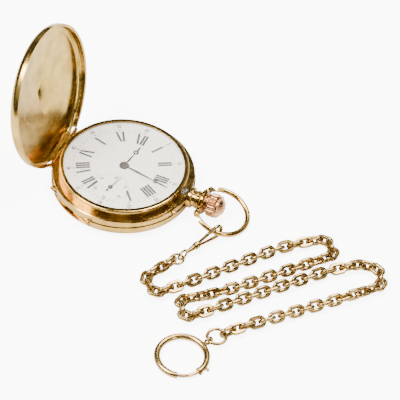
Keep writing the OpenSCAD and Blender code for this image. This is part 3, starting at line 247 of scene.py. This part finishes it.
def slab(bm, outline, z, thick):
    """A flat piece with the given outline, from z up."""
    low = [bm.verts.new((x, y, z)) for x, y in outline]
    high = [bm.verts.new((x, y, z + thick)) for x, y in outline]
    bm.faces.new(list(reversed(low)))
    bm.faces.new(high)
    count = len(outline)
    for i in range(count):
        j = (i + 1) % count
        bm.faces.new((low[i], low[j], high[j], high[i]))


def disc(centre, r, count=20):
    """The points of a circle of radius r round a centre."""
    turns = [2 * math.pi * k / count for k in range(count)]
    return [(centre[0] + r * math.cos(turn), centre[1] + r * math.sin(turn)) for turn in turns]


def ring_slab(bm, centre, r_in, r_out, z, thick, count=180):
    """A flat ring, from z up."""
    rows = []
    for r, level in ((r_in, z), (r_in, z + thick), (r_out, z + thick), (r_out, z)):
        rows.append([bm.verts.new((x, y, level)) for x, y in disc(centre, r, count)])
    for a in range(4):
        b = (a + 1) % 4
        for i in range(count):
            j = (i + 1) % count
            bm.faces.new((rows[a][i], rows[a][j], rows[b][j], rows[b][i]))


# ---- Dial ----

DIAL_LOW, DIAL_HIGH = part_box("dial")
SUB_LOW, SUB_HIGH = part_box("sub_dial")
DIAL_TOP = DIAL_HIGH.z
DIAL_AT = ((DIAL_LOW.x + DIAL_HIGH.x) / 2, (DIAL_LOW.y + DIAL_HIGH.y) / 2)
DIAL_R = (DIAL_HIGH.x - DIAL_LOW.x) / 2
SUB_AT = ((SUB_LOW.x + SUB_HIGH.x) / 2, (SUB_LOW.y + SUB_HIGH.y) / 2)
SUB_R = (SUB_HIGH.x - SUB_LOW.x) / 2
INK_LIFT = 0.004 * MM
INK_THICK = 0.008 * MM

# Print sizes as shares of the dial's radius
ROMAN_FOOT = 0.550
ROMAN_HEAD = 0.780
DOT_R = 0.818
FIGURE_R = 0.897
FIGURE_SIZE = 0.092
SUB_TRACK_R = 0.87
SUB_FIGURE_R = 0.705


def hour_turn(hour):
    """The angle of an hour's mark from the X axis, with twelve along +Y."""
    return math.radians(90 - 30 * hour)


# Each letter is a list of strokes from foot to head as (x at foot, x at head, width), in numeral heights
THICK = 0.165
THIN = 0.018
LETTERS = {
    "I": (0.205, [(0.0, 0.0, THICK)]),
    "V": (0.46, [(0.03, -0.15, THICK), (0.03, 0.18, THIN)]),
    "X": (0.46, [(0.14, -0.14, THICK), (-0.16, 0.16, THIN)]),
}
ROMAN = ["XII", "I", "II", "III", "IIII", "V", None, "VII", "VIII", "IX", "X", "XI"]


def roman_strokes(word):
    """(foot x, head x, width) of each stroke, with the word's middle at x = 0."""
    total = sum(LETTERS[letter][0] for letter in word)
    at = -total / 2
    for letter in word:
        advance, strokes = LETTERS[letter]
        middle = at + advance / 2
        for foot, head, width in strokes:
            yield middle + foot, middle + head, width
        at += advance


def roman_numerals():
    bm = bmesh.new()
    foot_r, head_r = ROMAN_FOOT * DIAL_R, ROMAN_HEAD * DIAL_R
    tall = head_r - foot_r
    for hour, word in enumerate(ROMAN):
        if word is None:
            continue
        turn = hour_turn(hour)
        along = Vector((math.cos(turn), math.sin(turn)))
        across = Vector((math.sin(turn), -math.cos(turn)))

        def place(x, y):
            point = along * (foot_r + y * tall) + across * (x * tall)
            return point.x + DIAL_AT[0], point.y + DIAL_AT[1]

        def bar(foot, head, width, low=0.0, high=1.0):
            half = width / 2
            slab(bm, [place(foot - half, low), place(foot + half, low), place(head + half, high),
                      place(head - half, high)], DIAL_TOP + INK_LIFT, INK_THICK)

        for foot, head, width in roman_strokes(word):
            bar(foot, head, width)
            serif = width + 0.03
            bar(foot, foot, serif, 0.0, 0.018)
            bar(head, head, serif, 0.982, 1.0)
    return mesh_object("roman_numerals", bm, "ink", "case")


def minute_dots():
    bm = bmesh.new()
    for minute in range(60):
        turn = math.radians(6 * minute)
        r = DOT_R * DIAL_R
        centre = (DIAL_AT[0] + r * math.cos(turn), DIAL_AT[1] + r * math.sin(turn))
        slab(bm, disc(centre, (0.32 if minute % 5 == 0 else 0.19) * MM), DIAL_TOP + INK_LIFT, INK_THICK)
    return mesh_object("minute_dots", bm, "ink", "case")


def figures(name, words, centre, r, size, z):
    """Small figures round a circle, feet inward, from the built-in plain face."""
    parts = bmesh.new()
    for word, turn in words:
        curve = bpy.data.curves.new("figure", "FONT")
        curve.body = word
        curve.size = size
        curve.align_x = "CENTER"
        curve.align_y = "CENTER"
        curve.extrude = INK_THICK / 2
        curve.offset = 0.03 * size
        curve.resolution_u = 4
        temp = bpy.data.objects.new("figure", curve)
        bpy.context.collection.objects.link(temp)
        bpy.context.view_layer.update()
        mesh = bpy.data.meshes.new_from_object(temp)
        x, y = centre[0] + r * math.cos(turn), centre[1] + r * math.sin(turn)
        mesh.transform(Matrix.Translation((x, y, z + INK_LIFT + INK_THICK / 2))
                       @ Matrix.Rotation(turn - math.pi / 2, 4, "Z") @ Matrix.Diagonal((0.8, 1.1, 1, 1)))
        parts.from_mesh(mesh)
        bpy.data.objects.remove(temp)
        bpy.data.curves.remove(curve)
        bpy.data.meshes.remove(mesh)
    return mesh_object(name, parts, "ink", "case")


def sub_track():
    bm = bmesh.new()
    z = SUB_HIGH.z + INK_LIFT
    r = SUB_TRACK_R * SUB_R
    ring_slab(bm, SUB_AT, r - 0.03 * MM, r + 0.03 * MM, z, INK_THICK, 120)
    for second in range(60):
        turn = math.radians(6 * second)
        long = 0.42 if second % 5 == 0 else 0.26
        along = Vector((math.cos(turn), math.sin(turn)))
        across = Vector((-along.y, along.x)) * (0.045 if second % 5 == 0 else 0.025) * MM
        inner, outer = along * (r - long * MM), along * r
        slab(bm, [(SUB_AT[0] + p.x, SUB_AT[1] + p.y) for p in (inner - across, outer - across, outer + across,
                                                              inner + across)], z, INK_THICK)
    return mesh_object("sub_track", bm, "ink", "case")


def sunk_edge():
    """The fine fired step where the small dial is let into the large one."""
    bm = bmesh.new()
    ring_slab(bm, SUB_AT, SUB_R - 0.02 * MM, SUB_R + 0.10 * MM, DIAL_TOP - 0.10 * MM, 0.105 * MM, 120)
    made = mesh_object("sunk_edge", bm, "enamel", "case", smooth=False)
    bevel = made.modifiers.new("soft", "BEVEL")
    bevel.width = 0.03 * MM
    bevel.segments = 2
    return made


CAP_RINGS = 6
CAP_SIDES = 40
CAP_R = 1.5 * MM
CAP_RISE = 0.12 * MM


def domed_cap(name, node, centre, r, rise, finish, body):
    """A small domed cap over a hand's hub, standing on the node's top."""
    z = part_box(node)[1].z
    bm = bmesh.new()
    rows = []
    for k in range(CAP_RINGS):
        lean = math.pi / 2 * k / CAP_RINGS
        rows.append([bm.verts.new((x, y, z + rise * math.sin(lean)))
                     for x, y in disc(centre, r * math.cos(lean), CAP_SIDES)])
    for low, high in zip(rows, rows[1:]):
        for i in range(CAP_SIDES):
            j = (i + 1) % CAP_SIDES
            bm.faces.new((low[i], low[j], high[j], high[i]))
    top = bm.verts.new((centre[0], centre[1], z + rise))
    for i in range(CAP_SIDES):
        bm.faces.new((rows[-1][i], rows[-1][(i + 1) % CAP_SIDES], top))
    bm.faces.new(list(reversed(rows[0])))
    return mesh_object(name, bm, finish, body, smooth=True)


def dial_print():
    roman_numerals()
    minute_dots()
    hours = [(str(5 * hour), hour_turn(hour)) for hour in range(1, 13)]
    figures("minute_figures", hours, DIAL_AT, FIGURE_R * DIAL_R, FIGURE_SIZE * DIAL_R, DIAL_TOP)
    tens = [(str(10 * k), hour_turn(2 * k)) for k in range(1, 7)]
    figures("seconds_figures", tens, SUB_AT, SUB_FIGURE_R * SUB_R, 0.21 * SUB_R, SUB_HIGH.z)
    sub_track()
    sunk_edge()
    domed_cap("centre_cap", "cannon_pinion", DIAL_AT, CAP_R, CAP_RISE, "hub_bronze", "centre")


# ---- Lid ----

# The closed lid's inside, as in the CAD: wall radius, dome radius, edge radius and the height of its middle
LID_WALL_R = 24.5
LID_DOME_R = 95.5
LID_EDGE_R = 1.9
LID_TOP_Z = 12.9
# Where the skin over it stops, its lift off the metal, and its divisions
LINER_END_Z = 9.15
LINER_LIFT = 0.015
LINER_DOME_STEPS = 24
LINER_EDGE_STEPS = 12
LINER_SIDES = 160


def lid_profile():
    """The inside of the closed lid from its middle towards its rim, as (radius, height) in millimetres."""
    centre = LID_TOP_Z - LID_DOME_R
    corner_r = LID_WALL_R - LID_EDGE_R
    corner_z = centre + math.sqrt((LID_DOME_R - LID_EDGE_R) ** 2 - corner_r ** 2)
    meet = math.atan2(corner_r, corner_z - centre)
    points = []
    for k in range(LINER_DOME_STEPS + 1):
        lean = meet * k / LINER_DOME_STEPS
        r = LID_DOME_R - LINER_LIFT
        points.append((r * math.sin(lean), centre + r * math.cos(lean)))
    for k in range(1, LINER_EDGE_STEPS + 1):
        lean = meet + (math.pi / 2 - meet) * k / LINER_EDGE_STEPS
        r = LID_EDGE_R - LINER_LIFT
        points.append((corner_r + r * math.sin(lean), corner_z + r * math.cos(lean)))
    points.append((LID_WALL_R - LINER_LIFT, LINER_END_Z))
    return points


def lid_liner():
    """A smooth polished skin over the inside of the lid."""
    hinge = next(joint for joint in frame["joints"] if joint["name"] == "lid_hinge")
    pivot = Vector(hinge["pos_m"])
    opened = math.radians(max(hinge["range_deg"]))
    swing = (Matrix.Translation(pivot) @ Matrix.Rotation(-opened, 4, Vector(hinge["axis"]))
             @ Matrix.Translation(-pivot))
    bm = bmesh.new()
    profile = lid_profile()
    middle = bm.verts.new(swing @ Vector((0, 0, profile[0][1] * MM)))
    rows = []
    for r, z in profile[1:]:
        circle = disc((0, 0), r * MM, LINER_SIDES)
        rows.append([bm.verts.new(swing @ Vector((x, y, z * MM))) for x, y in circle])
    for i in range(LINER_SIDES):
        j = (i + 1) % LINER_SIDES
        bm.faces.new((middle, rows[0][j], rows[0][i]))
        for inner, outer in zip(rows, rows[1:]):
            bm.faces.new((inner[i], inner[j], outer[j], outer[i]))
    bmesh.ops.recalc_face_normals(bm, faces=bm.faces)
    # The skin takes the lighter gold that paints light on the lid's inside
    return mesh_object("lid_liner", bm, "lid_inside_painted_light", "lid", smooth=True)


# ---- Stage ----

# The camera: its angles in degrees, distance and lens, and how far its aim lies from the dial's middle
CAMERA_TURN = 22.6
CAMERA_RISE = 46.0
CAMERA_ROLL = 3.0
CAMERA_DISTANCE = 0.7
CAMERA_LENS = 182.7
AIM_RIGHT = 0.026172
AIM_DOWN = 0.011793


def camera():
    """A long lens from the front, a little to the right and a little above 45 degrees."""
    azimuth, elevation, roll = map(math.radians, (CAMERA_TURN, CAMERA_RISE, CAMERA_ROLL))
    back = Vector((math.sin(azimuth) * math.cos(elevation), -math.cos(azimuth) * math.cos(elevation),
                   math.sin(elevation)))
    level = Vector((math.cos(azimuth), math.sin(azimuth), 0))
    upright = back.cross(level)
    right = level * math.cos(roll) + upright * math.sin(roll)
    up = upright * math.cos(roll) - level * math.sin(roll)
    dial = Vector((0, 0, DIAL_TOP))
    aim = dial + right * AIM_RIGHT - up * AIM_DOWN
    data = bpy.data.cameras.new("camera")
    data.sensor_width = 36
    data.lens = CAMERA_LENS
    data.clip_start = 0.01
    data.clip_end = 10
    made = bpy.data.objects.new("camera", data)
    bpy.context.collection.objects.link(made)
    made.location = dial + back * CAMERA_DISTANCE
    toward = (made.location - aim).normalized()
    side = up.cross(toward).normalized()
    lift = toward.cross(side)
    made.matrix_world = Matrix.Translation(made.location) @ Matrix((side, lift, toward)).transposed().to_4x4()
    bpy.context.scene.camera = made


FLOOR_HALF = 3
FLOOR_DROP = 0.00002
FLOOR_GLOW_SEEN = 7.0
FLOOR_GLOW_CAST = 0.15


def floor():
    """White paper just under the watch, lit up to white for the camera but casting little light itself."""
    bm = bmesh.new()
    bmesh.ops.create_grid(bm, x_segments=2, y_segments=2, size=FLOOR_HALF)
    mesh = bpy.data.meshes.new("floor")
    bm.to_mesh(mesh)
    bm.free()
    made = bpy.data.objects.new("floor", mesh)
    bpy.context.collection.objects.link(made)
    finish, nodes, shader = material("floor_paper")
    tone = nodes.noise(3, 2)
    colour = nodes.ramp(tone, [(0.3, (0.90, 0.90, 0.90)), (0.7, (0.93, 0.93, 0.93))])
    link(nodes, shader, Base_Color=colour, Roughness=0.9)
    seen = nodes.add("ShaderNodeLightPath").outputs["Is Camera Ray"]
    glow = nodes.add(
        "ShaderNodeMath", {0: seen, 1: FLOOR_GLOW_SEEN, 2: FLOOR_GLOW_CAST}, operation="MULTIPLY_ADD")
    shader.inputs["Emission Color"].default_value = (1, 1, 1, 1)
    link(nodes, shader, Emission_Strength=glow.outputs[0])
    mesh.materials.append(finish)
    made.location.z = -FLOOR_DROP


LIGHT_AIM = (0.02, -0.01, 0.01)


def area_light(name, place, size, watts, colour=(1, 1, 1)):
    data = bpy.data.lights.new(name, "AREA")
    data.shape = "RECTANGLE"
    data.size, data.size_y = size
    data.energy = watts
    data.color = colour
    made = bpy.data.objects.new(name, data)
    bpy.context.collection.objects.link(made)
    made.location = place
    made.rotation_euler = (Vector(place) - Vector(LIGHT_AIM)).to_track_quat("Z", "Y").to_euler()


def lights():
    """Warm soft boxes in a dim studio with dark panels, which the gold mirrors."""
    area_light("key", (-0.35, -0.25, 0.75), (0.45, 0.45), 20, (1.0, 0.95, 0.88))
    area_light("top", (0.15, 0.30, 0.85), (0.6, 0.3), 14, (1.0, 0.96, 0.91))
    area_light("strip", (0.75, -0.45, 0.35), (0.1, 0.6), 3)
    world = bpy.data.worlds.new("studio")
    bpy.context.scene.world = world
    world.use_nodes = True
    world.node_tree.nodes.clear()
    nodes = Nodes(world.node_tree)
    place = nodes.add("ShaderNodeTexCoord")
    split = nodes.add("ShaderNodeSeparateXYZ", {"Vector": place.outputs["Generated"]})
    height = nodes.ramp(split.outputs["Z"], [
        (0.0, (0.10, 0.08, 0.06)), (0.15, (0.16, 0.13, 0.10)),
        (0.40, (0.60, 0.57, 0.53)), (0.8, (0.85, 0.84, 0.82))])
    panels = nodes.add("ShaderNodeTexNoise", {
        "Vector": place.outputs["Generated"], "Scale": 1.6, "Detail": 1.0})
    shade = nodes.ramp(panels.outputs["Fac"], [(0.44, (0.05, 0.04, 0.03)), (0.55, (1.0, 1.0, 1.0))])
    product = nodes.add("ShaderNodeVectorMath", {0: height, 1: shade}, operation="MULTIPLY").outputs["Vector"]
    back = nodes.add("ShaderNodeBackground", {"Color": product, "Strength": 0.8})
    nodes.add("ShaderNodeOutputWorld", {"Surface": back.outputs["Background"]})


camera()
dress_cad_nodes()
dial_print()
lid_liner()
floor()
lights()
